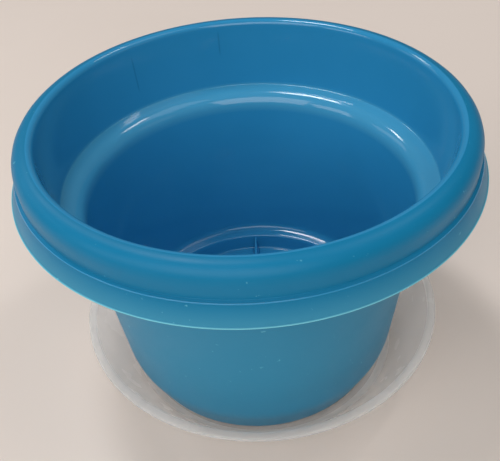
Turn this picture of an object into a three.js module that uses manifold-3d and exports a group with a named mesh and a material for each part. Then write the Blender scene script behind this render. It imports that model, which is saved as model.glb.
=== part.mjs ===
// Bowl of a vibratory rock tumbler, standing in its translucent drop-in lid.
// Millimetres, +Z up. The origin is on the bowl's axis, on the surface that the lid rests on.

import * as THREE from 'three';
import { mergeVertices } from 'three/addons/utils/BufferGeometryUtils.js';
import Module from 'manifold-3d';

const wasm = await Module();
wasm.setup();

// ---- driving dimensions -------------------------------------------------------------------

const ROUND_SEGMENTS = 64;      // facets around every turned piece

// Bowl: heights are measured up from its own foot.
const RIM_RADIUS = 95;          // lower edge of the skirt, the widest place
const SKIRT_BOTTOM = 105;       // height of that edge
const BOWL_HEIGHT = 126.5;      // top of the lip
const WALL = 2.8;               // wall of the bowl's body
const RIM_WALL = 2.6;           // wall of the rolled rim
const LIP_INNER_RADIUS = 82.6;
const LIP_INNER_ROUNDING = 2.5;
const LIP_OUTER_RADIUS = 91.7;
const LIP_OUTER_ROUNDING = 6.4; // the lip rolls over into the skirt's upper band
const UNDER_LIP_ROUNDING = 3;   // the same roll, inside the hollow rim
const CREASE_RADIUS = 90.9;     // bottom of the skirt's upper band, tucked in above the step
const CREASE_HEIGHT = 114.2;
const STEP_RADIUS = 92.1;       // where the skirt's lower band starts
const STEP_HEIGHT = 113.5;
const SHOULDER_RADIUS = 78.2;   // where the ledge inside the mouth meets the rim's inner wall
const SHOULDER_HEIGHT = 95;
const SHOULDER_FALL = 2.2;      // how far the ledge falls towards the bowl's axis
const SHOULDER_ROUNDING = 7.5;
const BODY_RADIUS = 73.9;       // outside of the body, carried up to the skirt's lower edge
const BODY_TAPER = 0.122;       // radius lost per millimetre going down
const BODY_BEND_HEIGHT = 15;    // below this the body turns in towards its foot
const BODY_BEND_ROUNDING = 25;
const FOOT_RADIUS = 56.3;
const FOOT_WIDTH = 5.8;         // flat ring that the bowl stands on
const FOOT_ROUNDING = 2.5;
const RECESS_DEPTH = 4.8;       // hollow under the floor
const RECESS_DRAFT = 1;         // how much narrower the hollow is at its top
const FLOOR_HEIGHT = 9;         // top of the floor inside the bowl
const FLOOR_RADIUS = 53;
const LEDGE_HEIGHT = 16.4;      // step around the floor
const LEDGE_RADIUS = 54.6;
const LEDGE_RISE = 1.4;         // how far that step rises towards the wall
const LEDGE_ROUNDING = 1.6;
const LEDGE_CORNER_ROUNDING = 4;

// Ribs across the bowl's floor.
const RIB_BARS = 2;             // each bar makes two ribs
const RIB_ANGLE = THREE.MathUtils.degToRad(88.3);
const RIB_TOP = 15.2;
const RIB_BASE = 7;             // sunk into the floor
const RIB_TOP_WIDTH = 1.2;
const RIB_BASE_WIDTH = 3;
const RIB_REACH = 56;           // sunk into the step's wall

// Lid, lying under the bowl as a dish.
const LID_RADIUS = 81.3;
const LID_HEIGHT = 28.8;
const LID_THICKNESS = 2;
const LID_FLOOR_RADIUS = 62;
const LID_WALL_INSET = 1.4;     // inside of the wall, measured at the floor, from its outside
const LID_BEAD_WIDTH = 2.1;
const LID_BEAD_DEPTH = 2;
const LID_BEAD_ROUNDING = 0.7;
const LID_CORNER_ROUNDING = 2.5;
const LID_OFFSET = 1.8;         // the bowl doesn't stand quite in the lid's middle
const REST_GAP = 0.3;

// ---- outlines -----------------------------------------------------------------------------

// A corner is [radius, height] or [radius, height, rounding, steps in the rounding].
function roundedOutline(corners) {
  const points = [];
  corners.forEach(([radius, height, rounding = 0, steps = 2], index) => {
    const corner = new THREE.Vector2(radius, height);
    if (rounding === 0) {
      points.push(corner);
      return;
    }
    const before = new THREE.Vector2(...corners[index - 1].slice(0, 2));
    const after = new THREE.Vector2(...corners[index + 1].slice(0, 2));
    const arriving = corner.clone().sub(before).normalize();
    const leaving = after.clone().sub(corner).normalize();
    const turn = Math.atan2(arriving.cross(leaving), arriving.dot(leaving));
    const side = Math.sign(turn);
    const start = corner.clone().addScaledVector(arriving, -rounding * Math.tan(Math.abs(turn) / 2));
    const towardsCentre = new THREE.Vector2(-arriving.y, arriving.x).multiplyScalar(side * rounding);
    const centre = start.clone().add(towardsCentre);
    for (let step = 0; step <= steps; step += 1) {
      points.push(start.clone().rotateAround(centre, turn * step / steps));
    }
  });
  return points;
}

function bodyRadius(height) {
  return BODY_RADIUS - BODY_TAPER * (SKIRT_BOTTOM - height);
}

// From the axis across the floor, up the inside, over the lip, down and up the hollow skirt,
// down the outside and back to the axis under the floor.
function bowlOutline() {
  const shoulderInner = SHOULDER_HEIGHT - SHOULDER_FALL;
  const ledgeCorner = LEDGE_HEIGHT + LEDGE_RISE;
  const underShoulder = shoulderInner - WALL;
  const underLip = BOWL_HEIGHT - RIM_WALL;
  const recessRadius = FOOT_RADIUS - FOOT_WIDTH;
  return roundedOutline([
    [0, FLOOR_HEIGHT],
    [FLOOR_RADIUS, FLOOR_HEIGHT, LEDGE_ROUNDING, 1],
    [LEDGE_RADIUS, LEDGE_HEIGHT, LEDGE_ROUNDING, 1],
    [bodyRadius(ledgeCorner) - WALL, ledgeCorner, LEDGE_CORNER_ROUNDING, 2],
    [bodyRadius(shoulderInner) - WALL, shoulderInner, SHOULDER_ROUNDING, 3],
    [SHOULDER_RADIUS, SHOULDER_HEIGHT],
    [LIP_INNER_RADIUS, BOWL_HEIGHT, LIP_INNER_ROUNDING, 2],
    [LIP_OUTER_RADIUS, BOWL_HEIGHT, LIP_OUTER_ROUNDING, 5],
    [CREASE_RADIUS, CREASE_HEIGHT],
    [STEP_RADIUS, STEP_HEIGHT],
    [RIM_RADIUS, SKIRT_BOTTOM],
    [RIM_RADIUS - RIM_WALL, SKIRT_BOTTOM],
    [CREASE_RADIUS - RIM_WALL, CREASE_HEIGHT],
    [LIP_OUTER_RADIUS - RIM_WALL, underLip, UNDER_LIP_ROUNDING, 2],
    [LIP_INNER_RADIUS + RIM_WALL, underLip],
    [SHOULDER_RADIUS + RIM_WALL, SHOULDER_HEIGHT - WALL, RIM_WALL, 2],
    [bodyRadius(underShoulder), underShoulder],
    [bodyRadius(BODY_BEND_HEIGHT), BODY_BEND_HEIGHT, BODY_BEND_ROUNDING, 2],
    [FOOT_RADIUS, 0, FOOT_ROUNDING, 2],
    [recessRadius, 0],
    [recessRadius - RECESS_DRAFT, RECESS_DEPTH],
    [0, RECESS_DEPTH],
  ]);
}

// From the axis across the inside, over the bead, down the outside and back under the floor.
function lidOutline() {
  const underBead = LID_HEIGHT - LID_BEAD_DEPTH;
  const slope = (LID_RADIUS - LID_BEAD_WIDTH - LID_FLOOR_RADIUS) / underBead;
  const innerFloorRadius = LID_FLOOR_RADIUS - LID_WALL_INSET;
  return roundedOutline([
    [0, LID_THICKNESS],
    [innerFloorRadius, LID_THICKNESS, LID_CORNER_ROUNDING, 2],
    [innerFloorRadius + slope * (LID_HEIGHT - LID_THICKNESS), LID_HEIGHT],
    [LID_RADIUS, LID_HEIGHT, LID_BEAD_ROUNDING, 1],
    [LID_RADIUS, underBead],
    [LID_RADIUS - LID_BEAD_WIDTH, underBead],
    [LID_FLOOR_RADIUS, 0, LID_CORNER_ROUNDING, 2],
    [0, 0],
  ]);
}

// ---- solids -------------------------------------------------------------------------------

// LatheGeometry turns about Y, and its faces look outwards when the outline is run backwards.
function turned(outline) {
  const geometry = new THREE.LatheGeometry(outline.slice().reverse(), ROUND_SEGMENTS);
  geometry.rotateX(Math.PI / 2);
  return weldedGeometry(geometry);
}

function weldedGeometry(geometry) {
  geometry.deleteAttribute('normal');
  geometry.deleteAttribute('uv');
  return mergeVertices(geometry, 1e-4);
}

function solidFrom(geometry) {
  const mesh = new wasm.Mesh({
    numProp: 3,
    vertProperties: Float32Array.from(geometry.attributes.position.array),
    triVerts: Uint32Array.from(geometry.index.array),
  });
  return new wasm.Manifold(mesh);
}

function geometryFrom(solid) {
  const mesh = solid.getMesh();
  const geometry = new THREE.BufferGeometry();
  geometry.setAttribute('position', new THREE.BufferAttribute(mesh.vertProperties, 3));
  geometry.setIndex(new THREE.BufferAttribute(mesh.triVerts, 1));
  geometry.computeVertexNormals();
  return geometry;
}

// A bar with sloping sides, lying across the whole floor through its centre.
function ribBar(angle) {
  const section = new THREE.Shape([
    new THREE.Vector2(-RIB_BASE_WIDTH / 2, RIB_BASE),
    new THREE.Vector2(RIB_BASE_WIDTH / 2, RIB_BASE),
    new THREE.Vector2(RIB_TOP_WIDTH / 2, RIB_TOP),
    new THREE.Vector2(-RIB_TOP_WIDTH / 2, RIB_TOP),
  ]);
  const geometry = new THREE.ExtrudeGeometry(section, { depth: 2 * RIB_REACH, bevelEnabled: false });
  geometry.translate(0, 0, -RIB_REACH);
  geometry.rotateX(Math.PI / 2);
  geometry.rotateZ(angle - Math.PI / 2);
  return weldedGeometry(geometry);
}

function bowlGeometry() {
  let solid = solidFrom(turned(bowlOutline()));
  for (let bar = 0; bar < RIB_BARS; bar += 1) {
    solid = solid.add(solidFrom(ribBar(RIB_ANGLE + bar * Math.PI / RIB_BARS)));
  }
  return geometryFrom(solid);
}

// ---- assembly -----------------------------------------------------------------------------

const bluePlastic = new THREE.MeshStandardMaterial({ color: 0x1f86bd, roughness: 0.32, metalness: 0 });
const clearPlastic = new THREE.MeshStandardMaterial({
  color: 0xdde2e3, roughness: 0.3, metalness: 0, transparent: true, opacity: 0.45,
});

function bowl() {
  const mesh = new THREE.Mesh(bowlGeometry(), bluePlastic);
  mesh.name = 'bowl';
  mesh.position.z = LID_THICKNESS + REST_GAP;
  return mesh;
}

function dropInLid() {
  const mesh = new THREE.Mesh(turned(lidOutline()), clearPlastic);
  mesh.name = 'drop_in_lid';
  mesh.position.x = LID_OFFSET;
  return mesh;
}

const tumblerBowl = new THREE.Group();
tumblerBowl.add(bowl(), dropInLid());

export default tumblerBowl;
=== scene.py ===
"""The looks of a rock tumbler's bowl in its translucent drop-in lid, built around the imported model."""

import math

import bpy
from mathutils import Matrix, Vector


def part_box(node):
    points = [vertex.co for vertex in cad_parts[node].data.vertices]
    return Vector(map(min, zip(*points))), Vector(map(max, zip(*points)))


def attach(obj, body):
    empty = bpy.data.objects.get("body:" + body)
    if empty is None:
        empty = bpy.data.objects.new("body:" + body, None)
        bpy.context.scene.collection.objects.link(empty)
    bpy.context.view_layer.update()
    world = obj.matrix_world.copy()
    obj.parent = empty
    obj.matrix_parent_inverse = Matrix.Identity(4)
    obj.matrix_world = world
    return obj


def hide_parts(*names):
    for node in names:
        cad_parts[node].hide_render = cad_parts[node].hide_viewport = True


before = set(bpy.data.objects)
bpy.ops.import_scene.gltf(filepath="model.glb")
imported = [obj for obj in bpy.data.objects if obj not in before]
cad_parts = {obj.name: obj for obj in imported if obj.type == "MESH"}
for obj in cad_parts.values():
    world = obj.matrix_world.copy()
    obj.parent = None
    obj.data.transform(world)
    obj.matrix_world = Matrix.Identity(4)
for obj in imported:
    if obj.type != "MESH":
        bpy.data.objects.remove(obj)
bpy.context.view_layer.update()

MM = 0.001
ROUND_STEPS = 288                   # faces around each turned piece
OUTLINE_STEP = 2.5 * MM             # longest straight stretch along an outline
ROUNDING_STEPS = 6                  # faces across each rounded corner

# ---- places taken from the frame --------------------------------------------------------------

bowl_low, bowl_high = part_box("bowl")
lid_low, lid_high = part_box("drop_in_lid")
FOOT = bowl_low.z
RIM_RADIUS = (bowl_high.x - bowl_low.x) / 2
BOWL_HEIGHT = bowl_high.z - bowl_low.z
LID_CENTRE_X = (lid_low.x + lid_high.x) / 2
LID_RADIUS = (lid_high.x - lid_low.x) / 2
LID_HEIGHT = lid_high.z - lid_low.z

# ---- the bowl's sizes, measured up from its foot -----------------------------------------------

SKIRT_BOTTOM = 105 * MM
WALL = 2.8 * MM
RIM_WALL = 2.6 * MM
LIP_INNER_RADIUS = 82.6 * MM
LIP_INNER_ROUNDING = 2.5 * MM
LIP_OUTER_RADIUS = 91.7 * MM
LIP_OUTER_ROUNDING = 6.4 * MM
UNDER_LIP_ROUNDING = 3 * MM
CREASE_RADIUS = 90.9 * MM           # bottom of the skirt's upper band, tucked in above the step
CREASE_HEIGHT = 114.2 * MM
STEP_RADIUS = 92.1 * MM
STEP_HEIGHT = 113.5 * MM
SHOULDER_RADIUS = 78.2 * MM
SHOULDER_HEIGHT = 95 * MM
SHOULDER_FALL = 2.2 * MM
SHOULDER_ROUNDING = 7.5 * MM
BODY_RADIUS = 73.9 * MM
BODY_TAPER = 0.122
BODY_BEND_HEIGHT = 15 * MM
FOOT_RADIUS = 56.3 * MM
FOOT_WIDTH = 5.8 * MM
RECESS_DEPTH = 4.8 * MM
FLOOR_HEIGHT = 9 * MM
FLOOR_RADIUS = 53 * MM
LEDGE_HEIGHT = 16.4 * MM
LEDGE_RADIUS = 54.6 * MM
LEDGE_RISE = 1.4 * MM
FLOOR_ROUNDING = 1.6 * MM
LEDGE_CORNER_ROUNDING = 4 * MM
SHOULDER_SEAM_ROUNDING = 0.5 * MM   # where the ledge inside the mouth meets the rim's wall
CREASE_ROUNDING = 0.3 * MM
STEP_ROUNDING = 0.3 * MM
STEP_SHINE_WIDTH = 0.12 * MM        # narrow polished strip just under the step's edge
STEP_SHINE_HEIGHT = 0.35 * MM
FLASH_ROUNDING = 0.1 * MM
SKIRT_INNER_ROUNDING = 0.4 * MM
HOLLOW_CREASE_ROUNDING = 0.5 * MM
HOLLOW_TOP_ROUNDING = 0.4 * MM
HOLLOW_SHOULDER_ROUNDING = 3 * MM
UNDER_SHOULDER_ROUNDING = 1.2 * MM
BODY_BEND_ROUNDING = 25 * MM
FOOT_ROUNDING = 2.5 * MM
FOOT_INNER_ROUNDING = 0.6 * MM
RECESS_DRAFT = 1 * MM               # the hollow under the floor is this much narrower at its top
RECESS_ROUNDING = 1 * MM
FLASH = 0.45 * MM                   # thin edge of moulding flash around the skirt
LEDGE_PAINTED_LIGHT = 0.16                   # painted light: the upward-facing ledge inside the mouth is made paler
LEDGE_FADE = 1.5 * MM               # how far up the rim's wall that painted light fades out
# painted highlight along the flash edge: it starts at this share of light blue and reaches all of it at the
# edge
FLASH_START_PAINTED_LIGHT = 0.2
BODY_PAINTED_LIGHT = 0.13                    # painted light: the body is made a little paler than the rim, for the floor's light bounced onto it

MARK_HALF_WIDTH = math.radians(0.45)    # of a scuff inside the rim
MARK_FADE = 4 * MM                  # a scuff's ends fade over this height
RIM_MARKS = [                       # azimuth in degrees, lowest and highest place above the frame's origin
    (128, 105 * MM, 124 * MM),
    (97, 112 * MM, 126 * MM),
]

RIB_ANGLE = math.radians(88.3)
RIB_TOP = 15.2 * MM
RIB_TOP_WIDTH = 1.2 * MM
RIB_BASE_WIDTH = 3 * MM
RIB_REACH = 54.4 * MM
RIB_SINK = 0.3 * MM                 # how far the root goes into the floor
RIB_FLARE_WIDTH = 0.9 * MM          # the root spreads towards the floor in two steps
RIB_FLARE_MIDDLE_WIDTH = 0.35 * MM
RIB_FLARE_MIDDLE_HEIGHT = 0.5 * MM
RIB_FLARE_HEIGHT = 1.2 * MM
RIB_CREST_HEIGHT = 0.5 * MM         # the top is rounded over this height
RIB_CREST_INSET = 0.18 * MM
RIB_CREST_DROP = 0.12 * MM
RIB_STRETCHES = 24                  # along each bar
RIB_TRIM = 0.05 * MM                # the crossing bar is this much lower, so that the tops don't coincide

# ---- the lid's sizes ---------------------------------------------------------------------------

LID_THICKNESS = 2 * MM
LID_FLOOR_RADIUS = 62 * MM
LID_WALL_INSET = 1.4 * MM
LID_BEAD_WIDTH = 2.1 * MM
LID_BEAD_DEPTH = 2 * MM
LID_FILLET = 2.5 * MM
LID_FILLET_SPREAD = 0.8             # the denser tone goes this share of the fillet up the wall
BEAD_INNER_ROUNDING = 0.7 * MM
BEAD_OUTER_ROUNDING = 0.8 * MM
BEAD_LOWER_ROUNDING = 0.6 * MM
UNDER_BEAD_ROUNDING = 0.4 * MM

# ---- the stage's sizes -------------------------------------------------------------------------

FLOOR_HALF_WIDTH = 3.0
FLOOR_DROP = 0.2 * MM               # the floor lies this far under the lid
LIGHT_TARGET = Vector((0, 0, 80 * MM))

# ---- colours and finishes ----------------------------------------------------------------------

# The inside's blues are lighter than the outside's: painted light that brightens the bowl's shaded inside.
POLISHED_BLUES_WITH_PAINTED_LIGHT = ((0.024, 0.262, 0.520), (0.028, 0.277, 0.545))
GRAINED_BLUES = ((0.001, 0.188, 0.378), (0.003, 0.199, 0.398))
PAINTED_LIGHT_AND_WEAR_BLUE = (0.2, 0.62, 0.74)       # painted light on the ledge, the body and the flash edge, and the colour of small wear specks
SCUFF_BLUE = (0.005, 0.09, 0.23)
SCUFF_STRENGTH = 0.35
LID_WALL_TONES = ((0.97, 0.92, 0.87), (1.0, 0.95, 0.90))
LID_EDGE_TONES = ((0.98, 0.94, 0.88), (1.0, 0.97, 0.91))
LID_WALL_ALPHA = 0.2
LID_EDGE_ALPHA = 0.38
PAPER_TONES = ((0.82, 0.725, 0.665), (0.85, 0.755, 0.695))
MIDDLE_OF_NOISE = (0.3, 0.7)        # the range in which most of a noise texture's values lie


# ---- outlines ----------------------------------------------------------------------------------

# A corner is (radius, height, rounding, polish, painted light). polish is 1 where a piece's first material
# starts (polished blue, or the lid's wall) and 0 where its second starts (grained blue, or the lid's denser
# edge).
# The last value is the share of light blue painted into the colour as light: on the ledge inside the mouth
# and on the body, and up to 1 as a painted highlight along the flash edge.

def rounded_outline(corners):
    """Points (radius, height, polish, pale) along an outline with its corners rounded."""
    points = []
    for index, (radius, height, rounding, polish, painted_light) in enumerate(corners):
        corner = Vector((radius, height))
        if rounding == 0:
            points.append(Vector((radius, height, polish, painted_light)))
            continue
        arriving = (corner - Vector(corners[index - 1][:2])).normalized()
        leaving = (Vector(corners[index + 1][:2]) - corner).normalized()
        turn = math.atan2(arriving.cross(leaving), arriving.dot(leaving))
        start = corner - arriving * rounding * math.tan(abs(turn) / 2)
        side = math.copysign(rounding, turn)
        centre = start + Vector((-arriving.y, arriving.x)) * side
        for step in range(ROUNDING_STEPS + 1):
            spoke = start - centre
            spoke.rotate(Matrix.Rotation(turn * step / ROUNDING_STEPS, 2))
            points.append(Vector((*(centre + spoke), polish, painted_light)))
    return points


def refined(points):
    """The same outline with extra points along its straight stretches."""
    result = [points[0]]
    for start, end in zip(points, points[1:]):
        count = max(1, math.ceil((end.xy - start.xy).length / OUTLINE_STEP))
        for k in range(1, count):
            middle = start.lerp(end, k / count)
            middle[2] = start[2]
            result.append(middle)
        result.append(end)
    return result


def body_radius(height):
    return BODY_RADIUS - BODY_TAPER * (SKIRT_BOTTOM - height)


def bowl_inside_corners():
    shoulder_inner = SHOULDER_HEIGHT - SHOULDER_FALL
    under_ledge = shoulder_inner - SHOULDER_ROUNDING
    rim_slope = (LIP_INNER_RADIUS - SHOULDER_RADIUS) / (BOWL_HEIGHT - SHOULDER_HEIGHT)
    ledge_corner = LEDGE_HEIGHT + LEDGE_RISE
    corners = [
        (0, FLOOR_HEIGHT, 0),
        (FLOOR_RADIUS, FLOOR_HEIGHT, FLOOR_ROUNDING),
        (LEDGE_RADIUS, LEDGE_HEIGHT, FLOOR_ROUNDING),
        (body_radius(ledge_corner) - WALL, ledge_corner, LEDGE_CORNER_ROUNDING),
        (body_radius(under_ledge) - WALL, under_ledge, 0),
        (body_radius(shoulder_inner) - WALL, shoulder_inner, SHOULDER_ROUNDING),
        (SHOULDER_RADIUS, SHOULDER_HEIGHT, SHOULDER_SEAM_ROUNDING),
        (SHOULDER_RADIUS + rim_slope * LEDGE_FADE, SHOULDER_HEIGHT + LEDGE_FADE, 0),
        (LIP_INNER_RADIUS, BOWL_HEIGHT, LIP_INNER_ROUNDING),
    ]
    # the ledge's two corners take painted light
    ledge = (shoulder_inner, SHOULDER_HEIGHT)
    return [(*corner, 1, LEDGE_PAINTED_LIGHT if corner[1] in ledge else 0) for corner in corners]


def bowl_rim_corners():
    return [
        (LIP_OUTER_RADIUS, BOWL_HEIGHT, LIP_OUTER_ROUNDING, 0, 0),
        (CREASE_RADIUS, CREASE_HEIGHT, CREASE_ROUNDING, 0, 0),
        (STEP_RADIUS, STEP_HEIGHT, STEP_ROUNDING, 1, 0),
        (STEP_RADIUS + STEP_SHINE_WIDTH, STEP_HEIGHT - STEP_SHINE_HEIGHT, 0, 0, 0),
        # painted highlight: the flash edge turns light blue, fully at its rim
        (RIM_RADIUS - FLASH, SKIRT_BOTTOM + FLASH, FLASH_ROUNDING, 0, FLASH_START_PAINTED_LIGHT),
        (RIM_RADIUS, SKIRT_BOTTOM + FLASH / 2, FLASH_ROUNDING, 0, 1),
        (RIM_RADIUS, SKIRT_BOTTOM, FLASH_ROUNDING, 0, 1),
    ]


def bowl_outside_corners():
    under_shoulder = SHOULDER_HEIGHT - SHOULDER_FALL - WALL
    under_lip = BOWL_HEIGHT - RIM_WALL
    recess_radius = FOOT_RADIUS - FOOT_WIDTH
    corners = [
        (RIM_RADIUS - RIM_WALL, SKIRT_BOTTOM, SKIRT_INNER_ROUNDING),
        (CREASE_RADIUS - RIM_WALL, CREASE_HEIGHT, HOLLOW_CREASE_ROUNDING),
        (LIP_OUTER_RADIUS - RIM_WALL, under_lip, UNDER_LIP_ROUNDING),
        (LIP_INNER_RADIUS + RIM_WALL, under_lip, HOLLOW_TOP_ROUNDING),
        (SHOULDER_RADIUS + RIM_WALL, SHOULDER_HEIGHT - WALL, HOLLOW_SHOULDER_ROUNDING),
        (body_radius(under_shoulder), under_shoulder, UNDER_SHOULDER_ROUNDING),
        (body_radius(BODY_BEND_HEIGHT), BODY_BEND_HEIGHT, BODY_BEND_ROUNDING),
        (FOOT_RADIUS, 0, FOOT_ROUNDING),
        (recess_radius, 0, FOOT_INNER_ROUNDING),
        (recess_radius - RECESS_DRAFT, RECESS_DEPTH, RECESS_ROUNDING),
        (0, RECESS_DEPTH, 0),
    ]
    # the body below the shoulder takes painted light
    return [(*corner, 0, BODY_PAINTED_LIGHT if corner[0] < SHOULDER_RADIUS else 0) for corner in corners]


def lid_corners():
    under_bead = LID_HEIGHT - LID_BEAD_DEPTH
    slope = (LID_RADIUS - LID_BEAD_WIDTH - LID_FLOOR_RADIUS) / under_bead
    inner_floor = LID_FLOOR_RADIUS - LID_WALL_INSET
    above_fillet = LID_FILLET * LID_FILLET_SPREAD
    corners = [
        (0, LID_THICKNESS, 0, 1),
        (inner_floor - LID_FILLET, LID_THICKNESS, 0, 0),
        (inner_floor, LID_THICKNESS, LID_FILLET, 0),
        (inner_floor + slope * above_fillet, LID_THICKNESS + above_fillet, 0, 1),
        (inner_floor + slope * (LID_HEIGHT - LID_THICKNESS), LID_HEIGHT, BEAD_INNER_ROUNDING, 0),
        (LID_RADIUS, LID_HEIGHT, BEAD_OUTER_ROUNDING, 0),
        (LID_RADIUS, under_bead, BEAD_LOWER_ROUNDING, 0),
        (LID_RADIUS - LID_BEAD_WIDTH, under_bead, UNDER_BEAD_ROUNDING, 1),
        (LID_FLOOR_RADIUS, 0, LID_FILLET, 1),
        (0, 0, 0, 1),
    ]
    return [(*corner, 0) for corner in corners]


# ---- meshes ------------------------------------------------------------------------------------

def set_painted_light(mesh, values):
    mesh.attributes.new("painted_light", "FLOAT", "POINT").data.foreach_set("value", values)


def turned_mesh(name, outline):
    """A closed mesh turned about Z from an outline that starts and ends on the axis.

    Faces after a corner with polish 1 take the piece's first material, and the others the second.
    """
    rings = outline[1:-1]
    angles = [2 * math.pi * k / ROUND_STEPS for k in range(ROUND_STEPS)]
    vertices = [(p[0] * math.cos(a), p[0] * math.sin(a), p[1]) for p in rings for a in angles]
    first_pole = len(vertices)
    vertices += [(0, 0, outline[0][1]), (0, 0, outline[-1][1])]
    faces = []
    slots = []
    for ring in range(len(rings) - 1):
        slots += [int(rings[ring][2] == 0)] * ROUND_STEPS
        for k in range(ROUND_STEPS):
            here = ring * ROUND_STEPS + k
            beside = ring * ROUND_STEPS + (k + 1) % ROUND_STEPS
            faces.append((here, here + ROUND_STEPS, beside + ROUND_STEPS, beside))
    last_ring = (len(rings) - 1) * ROUND_STEPS
    for k in range(ROUND_STEPS):
        after = (k + 1) % ROUND_STEPS
        faces.append((first_pole, k, after))
        faces.append((first_pole + 1, last_ring + after, last_ring + k))
        slots += [int(end[2] == 0) for end in (outline[0], outline[-1])]
    mesh = bpy.data.meshes.new(name)
    mesh.from_pydata(vertices, [], faces)
    mesh.polygons.foreach_set("use_smooth", [True] * len(mesh.polygons))
    mesh.polygons.foreach_set("material_index", slots)
    set_painted_light(mesh, [p[3] for p in rings for _ in angles] + [outline[0][3], outline[-1][3]])
    mesh.update()
    return mesh


def added(name, mesh, place):
    piece = bpy.data.objects.new(name, mesh)
    mesh.transform(Matrix.Translation(place))
    bpy.context.scene.collection.objects.link(piece)
    return piece


def finished(piece, materials, body, replaced=None):
    for material in materials:
        piece.data.materials.append(material)
    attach(piece, body)
    if replaced:
        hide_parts(replaced)
    return piece


def make_bowl(polished, grained):
    corners = bowl_inside_corners() + bowl_rim_corners() + bowl_outside_corners()
    mesh = turned_mesh("bowl_moulding", refined(rounded_outline(corners)))
    piece = added("bowl_moulding", mesh, (0, 0, FOOT))
    return finished(piece, (polished, grained), "bowl", "bowl")


def make_lid(wall, edge):
    mesh = turned_mesh("lid_moulding", refined(rounded_outline(lid_corners())))
    place = (LID_CENTRE_X, 0, lid_low.z)
    return finished(added("lid_moulding", mesh, place), (wall, edge), "lid", "drop_in_lid")


def rib_section():
    """Half of a rib's section, from its flared root up to its rounded top: (side, height)."""
    base = RIB_BASE_WIDTH / 2
    top = RIB_TOP_WIDTH / 2
    root = FLOOR_HEIGHT - RIB_SINK
    return [
        (base + RIB_FLARE_WIDTH, root),
        (base + RIB_FLARE_MIDDLE_WIDTH, root + RIB_FLARE_MIDDLE_HEIGHT),
        (base, root + RIB_FLARE_HEIGHT),
        (top, RIB_TOP - RIB_CREST_HEIGHT),
        (top - RIB_CREST_INSET, RIB_TOP - RIB_CREST_DROP),
        (top / 2, RIB_TOP),
    ]


def make_rib(name, angle, height_trim, material):
    """A bar across the whole floor, with its height lowered by height_trim."""
    half = rib_section()
    section = [(-x, z) for x, z in half] + [(x, z) for x, z in reversed(half)]
    stations = [(-1 + 2 * k / RIB_STRETCHES) * RIB_REACH for k in range(RIB_STRETCHES + 1)]
    vertices = [(along, side, z - height_trim) for along in stations for side, z in section]
    count = len(section)
    faces = [tuple(range(count)), tuple(reversed(range(len(vertices) - count, len(vertices))))]
    for station in range(len(stations) - 1):
        for k in range(count):
            a = station * count + k
            b = station * count + (k + 1) % count
            faces.append((a, a + count, b + count, b))
    mesh = bpy.data.meshes.new(name)
    mesh.from_pydata(vertices, [], faces)
    mesh.transform(Matrix.Rotation(angle, 4, "Z"))
    set_painted_light(mesh, [0.0] * len(vertices))
    mesh.update()
    return finished(added(name, mesh, (0, 0, FOOT)), (material,), "bowl")


# ---- materials ---------------------------------------------------------------------------------

class Nodes:
    """A small helper that adds and links the shader nodes of one material."""

    def __init__(self, name):
        self.material = bpy.data.materials.new(name)
        self.material.use_nodes = True
        self.tree = self.material.node_tree
        self.tree.nodes.clear()
        self.shader = self.tree.nodes.new("ShaderNodeBsdfPrincipled")
        output = self.tree.nodes.new("ShaderNodeOutputMaterial")
        self.tree.links.new(self.shader.outputs["BSDF"], output.inputs["Surface"])
        self.place = self.tree.nodes.new("ShaderNodeTexCoord").outputs["Object"]

    def feed(self, socket, value):
        if isinstance(value, bpy.types.NodeSocket):
            self.tree.links.new(value, socket)
        else:
            socket.default_value = value

    def math(self, operation, *values):
        node = self.tree.nodes.new("ShaderNodeMath")
        node.operation = operation
        for socket, value in zip(node.inputs, values):
            self.feed(socket, value)
        return node.outputs[0]

    def noise(self, scale, detail):
        node = self.tree.nodes.new("ShaderNodeTexNoise")
        node.inputs["Scale"].default_value = scale
        node.inputs["Detail"].default_value = detail
        self.feed(node.inputs["Vector"], self.place)
        return node.outputs["Fac"]

    def varied(self, scale, detail, low=0.0, high=1.0):
        """A noise of this scale, spread over the range from low to high."""
        return self.between(self.noise(scale, detail), *MIDDLE_OF_NOISE, low, high)

    def between(self, value, low, high, to_low=0.0, to_high=1.0):
        node = self.tree.nodes.new("ShaderNodeMapRange")
        node.interpolation_type = "SMOOTHSTEP"
        for socket, number in zip(node.inputs, (value, low, high, to_low, to_high)):
            self.feed(socket, number)
        return node.outputs[0]

    def mix(self, factor, first, second):
        node = self.tree.nodes.new("ShaderNodeMix")
        node.data_type = "RGBA"
        self.feed(node.inputs["Factor"], factor)
        for socket, colour in zip([s for s in node.inputs if s.type == "RGBA"], (first, second)):
            self.feed(socket, colour if isinstance(colour, bpy.types.NodeSocket) else (*colour, 1))
        return next(s for s in node.outputs if s.type == "RGBA")

    def bump(self, height, distance, strength, under=None):
        node = self.tree.nodes.new("ShaderNodeBump")
        node.inputs["Distance"].default_value = distance
        self.feed(node.inputs["Strength"], strength)
        self.feed(node.inputs["Height"], height)
        if under is not None:
            self.feed(node.inputs["Normal"], under)
        return node.outputs[0]

    def attribute(self, name):
        node = self.tree.nodes.new("ShaderNodeAttribute")
        node.attribute_name = name
        return node.outputs["Fac"]


def blue_colour(nodes, dark, light):
    """Cloudy pigment between two close colours, with light blue painted in as light where the mesh's
    painted-light value says so.
    """
    cloud = nodes.varied(18, 3)
    return nodes.mix(nodes.attribute("painted_light"), nodes.mix(cloud, dark, light), PAINTED_LIGHT_AND_WEAR_BLUE)


def moulded_wave(nodes):
    """The slow unevenness that moulded plastic has under its finer finish."""
    return nodes.bump(nodes.noise(22, 2), 0.6 * MM, 0.10)


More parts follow.
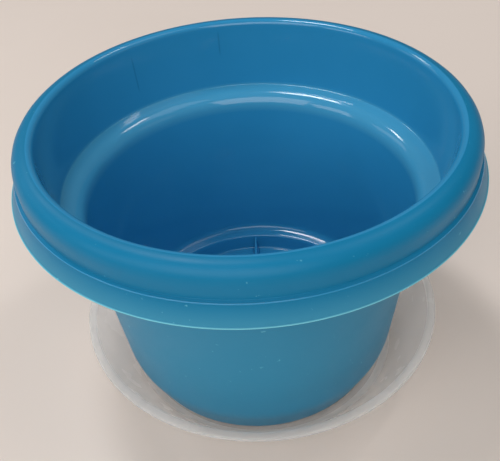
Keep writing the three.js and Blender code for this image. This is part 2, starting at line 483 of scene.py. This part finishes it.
def upright_mark(nodes, azimuth, low, high):
    """1 on a thin upright scuff at one azimuth of the inside, between two heights, and 0 elsewhere."""
    parts = nodes.tree.nodes.new("ShaderNodeSeparateXYZ")
    nodes.feed(parts.inputs[0], nodes.place)
    angle = nodes.math("ARCTAN2", parts.outputs["Y"], parts.outputs["X"])
    off = nodes.math("ABSOLUTE", nodes.math("SUBTRACT", angle, math.radians(azimuth)))
    across = nodes.between(off, 0, MARK_HALF_WIDTH, 1, 0)
    above = nodes.between(parts.outputs["Z"], low, low + MARK_FADE)
    below = nodes.between(parts.outputs["Z"], high - MARK_FADE, high, 1, 0)
    return nodes.math("MULTIPLY", across, nodes.math("MULTIPLY", above, below))


def polished_blue_with_painted_light():
    """The bowl's inside, which leaves the mould glossy, in blues set lighter as painted light, with two
    scuffs up the rim's wall.
    """
    nodes = Nodes("polished_blue_with_painted_light")
    blue = blue_colour(nodes, *POLISHED_BLUES_WITH_PAINTED_LIGHT)
    marks = nodes.math("MAXIMUM", *[upright_mark(nodes, *mark) for mark in RIM_MARKS])
    scuffed = nodes.mix(nodes.math("MULTIPLY", marks, SCUFF_STRENGTH), blue, SCUFF_BLUE)
    nodes.feed(nodes.shader.inputs["Base Color"], scuffed)
    nodes.feed(nodes.shader.inputs["Roughness"], nodes.varied(45, 3, 0.07, 0.10))
    wave = moulded_wave(nodes)
    nodes.feed(nodes.shader.inputs["Normal"], nodes.bump(nodes.noise(1200, 2), 0.04 * MM, 0.03, wave))
    nodes.shader.inputs["IOR"].default_value = 1.5
    return nodes.material


def grained_blue():
    """The lip and the outside, with a fine spark-eroded grain and a scatter of small light-blue wear
    specks.
    """
    nodes = Nodes("grained_blue")
    blue = blue_colour(nodes, *GRAINED_BLUES)
    specks = nodes.between(nodes.noise(420, 2), 0.72, 0.78, 0, 0.45)
    nodes.feed(nodes.shader.inputs["Base Color"], nodes.mix(specks, blue, PAINTED_LIGHT_AND_WEAR_BLUE))
    nodes.feed(nodes.shader.inputs["Roughness"], nodes.varied(60, 3, 0.38, 0.44))
    wave = moulded_wave(nodes)
    nodes.feed(nodes.shader.inputs["Normal"], nodes.bump(nodes.noise(1900, 2), 0.06 * MM, 0.35, wave))
    nodes.shader.inputs["IOR"].default_value = 1.3
    return nodes.material


def clear_plastic(name, dark, light, alpha):
    """The lid's milky plastic. Light gathers in its bead and its corner, so they take a denser kind."""
    nodes = Nodes(name)
    haze = nodes.varied(35, 3)
    nodes.feed(nodes.shader.inputs["Base Color"], nodes.mix(haze, dark, light))
    nodes.feed(nodes.shader.inputs["Roughness"], nodes.varied(80, 2, 0.24, 0.28))
    nodes.feed(nodes.shader.inputs["Normal"], nodes.bump(nodes.noise(400, 2), 0.05 * MM, 0.06))
    nodes.shader.inputs["IOR"].default_value = 1.49
    nodes.shader.inputs["Subsurface Weight"].default_value = 1
    nodes.shader.inputs["Subsurface Radius"].default_value = (1, 1, 0.96)
    nodes.shader.inputs["Subsurface Scale"].default_value = 0.008
    nodes.shader.inputs["Alpha"].default_value = alpha
    return nodes.material


def floor_paper():
    nodes = Nodes("floor_paper")
    tone = nodes.varied(3, 3)
    nodes.feed(nodes.shader.inputs["Base Color"], nodes.mix(tone, *PAPER_TONES))
    nodes.shader.inputs["Roughness"].default_value = 0.7
    nodes.feed(nodes.shader.inputs["Normal"], nodes.bump(nodes.noise(500, 2), 0.1 * MM, 0.2))
    return nodes.material


# ---- stage -------------------------------------------------------------------------------------

CAMERA_FROM_RIM = Vector((-0.01256, -2.68731, 1.83571))   # in rim radii, from the skirt's lower edge
CAMERA_PITCH = math.radians(39.914)
CAMERA_ROLL = math.radians(-3.927)
CAMERA_LENS = 54.173


def add_camera():
    forward = Vector((0, math.cos(CAMERA_PITCH), -math.sin(CAMERA_PITCH)))
    level = Vector((1, 0, 0))
    upward = level.cross(forward)
    right = level * math.cos(CAMERA_ROLL) + upward * math.sin(CAMERA_ROLL)
    turned_up = upward * math.cos(CAMERA_ROLL) - level * math.sin(CAMERA_ROLL)
    data = bpy.data.cameras.new("camera")
    data.lens = CAMERA_LENS
    data.sensor_width = 36
    camera = bpy.data.objects.new("camera", data)
    place = Vector((0, 0, FOOT + SKIRT_BOTTOM)) + CAMERA_FROM_RIM * RIM_RADIUS
    axes = Matrix((right, turned_up, -forward)).transposed().to_4x4()
    camera.matrix_world = Matrix.Translation(place) @ axes
    bpy.context.scene.collection.objects.link(camera)
    bpy.context.scene.camera = camera


WARM = (1.0, 0.97, 0.93)


def soft_light(name, azimuth, elevation, distance, size, power, colour=(1, 1, 1)):
    """A panel that looks at the bowl. Its angles are in degrees, its distance and size in metres."""
    data = bpy.data.lights.new(name, "AREA")
    data.shape = "RECTANGLE"
    data.size, data.size_y = size
    data.energy = power
    data.color = colour
    light = bpy.data.objects.new(name, data)
    turn, rise = math.radians(azimuth), math.radians(elevation)
    away = Vector((math.cos(rise) * math.cos(turn), math.cos(rise) * math.sin(turn), math.sin(rise)))
    light.location = LIGHT_TARGET + away * distance
    light.rotation_euler = away.to_track_quat("Z", "Y").to_euler()
    bpy.context.scene.collection.objects.link(light)


def add_room():
    world = bpy.data.worlds.new("room")
    world.use_nodes = True
    background = world.node_tree.nodes["Background"]
    background.inputs["Color"].default_value = (1.0, 0.96, 0.92, 1)
    background.inputs["Strength"].default_value = 0.15
    bpy.context.scene.world = world
    bpy.context.scene.view_settings.view_transform = "Standard"
    soft_light("front_left", 256, 38, 1.8, (1.9, 1.3), 19, WARM)
    soft_light("left_low", 205, 26, 2.6, (1.2, 0.9), 8, WARM)
    soft_light("right_low", 335, 20, 2.6, (1.2, 0.9), 1, WARM)
    soft_light("left_window", 155, 24, 2.6, (1.3, 0.6), 2.5)
    soft_light("right_high", 355, 64, 2.3, (1.2, 1.0), 4, WARM)
    soft_light("main_panel", 140, 72, 2.4, (0.40, 0.62), 15)
    soft_light("back_panel", 134, 42, 2.4, (0.24, 0.32), 4)
    soft_light("right_panel", 27, 58, 2.4, (0.28, 0.42), 4.2)


def add_floor(material):
    mesh = bpy.data.meshes.new("floor")
    signs = ((-1, -1), (1, -1), (1, 1), (-1, 1))
    corners = [(x * FLOOR_HALF_WIDTH, y * FLOOR_HALF_WIDTH, 0) for x, y in signs]
    mesh.from_pydata(corners, [], [(0, 1, 2, 3)])
    mesh.materials.append(material)
    floor = added("floor", mesh, (0, 0, lid_low.z - FLOOR_DROP))


def main():
    add_camera()
    add_room()
    add_floor(floor_paper())
    polished = polished_blue_with_painted_light()
    make_bowl(polished, grained_blue())
    make_rib("rib_bar_1", RIB_ANGLE, 0, polished)
    make_rib("rib_bar_2", RIB_ANGLE + math.pi / 2, RIB_TRIM, polished)
    wall = clear_plastic("clear_plastic_wall", *LID_WALL_TONES, LID_WALL_ALPHA)
    edge = clear_plastic("clear_plastic_edge", *LID_EDGE_TONES, LID_EDGE_ALPHA)
    make_lid(wall, edge)


main()
